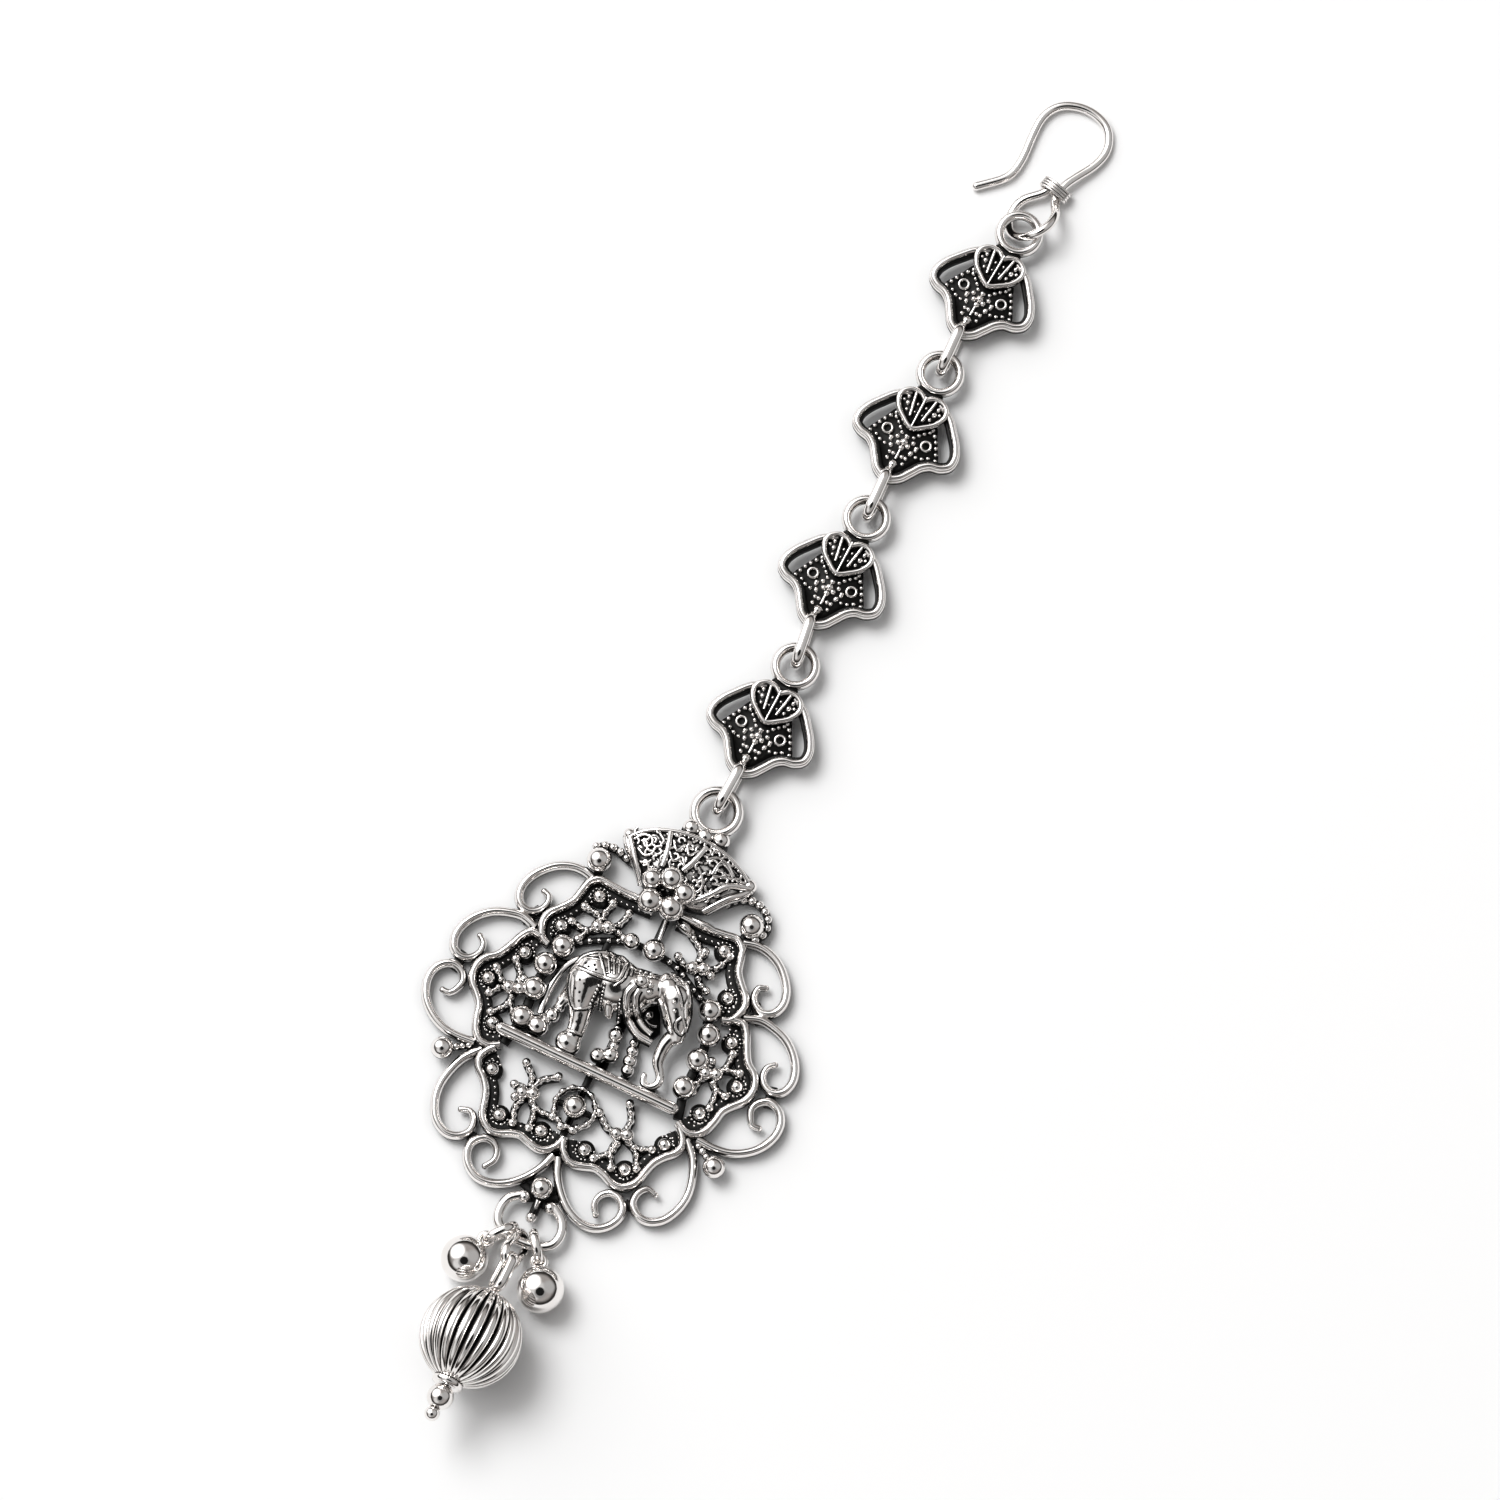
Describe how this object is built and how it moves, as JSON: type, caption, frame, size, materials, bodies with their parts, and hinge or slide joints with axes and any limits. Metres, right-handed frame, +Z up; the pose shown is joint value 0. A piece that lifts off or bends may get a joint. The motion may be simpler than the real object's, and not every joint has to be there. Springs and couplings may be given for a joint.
{
  "type": "maang tikka hair ornament",
  "caption": "Hair ornament lying flat: a wire hair hook, a chain of cast links on oval rings, a pierced medallion with an elephant in relief, and hanging ball drops.",
  "frame": {"origin": "the medallion's middle on its flat back, which lies on the surface", "axes": "+Y along the chain towards the hair hook, +Z up out of the medallion's face, +X the way the elephant looks"},
  "size_m": [0.041, 0.1599, 0.0107],
  "materials": {
    "oxidised_cast": "polished silver on the raised parts, black oxide in the recesses",
    "polished": "polished silver plate"
  },
  "bodies": {
    "root": {"medallion": "oxidised_cast", "link_1": "oxidised_cast", "link_2": "oxidised_cast", "link_3": "oxidised_cast", "link_4": "oxidised_cast", "jump_ring_1": "polished", "jump_ring_2": "polished", "jump_ring_3": "polished", "jump_ring_4": "polished", "hair_hook": "polished", "hook_binding": "polished", "drop_ring_left": "polished", "drop_ring_centre": "polished", "drop_ring_right": "polished", "ball_drop_left": "polished", "ball_drop_right": "polished", "melon_bead": "polished", "spacer_ball": "polished", "drop_pin": "polished"}
  },
  "joints": []
}
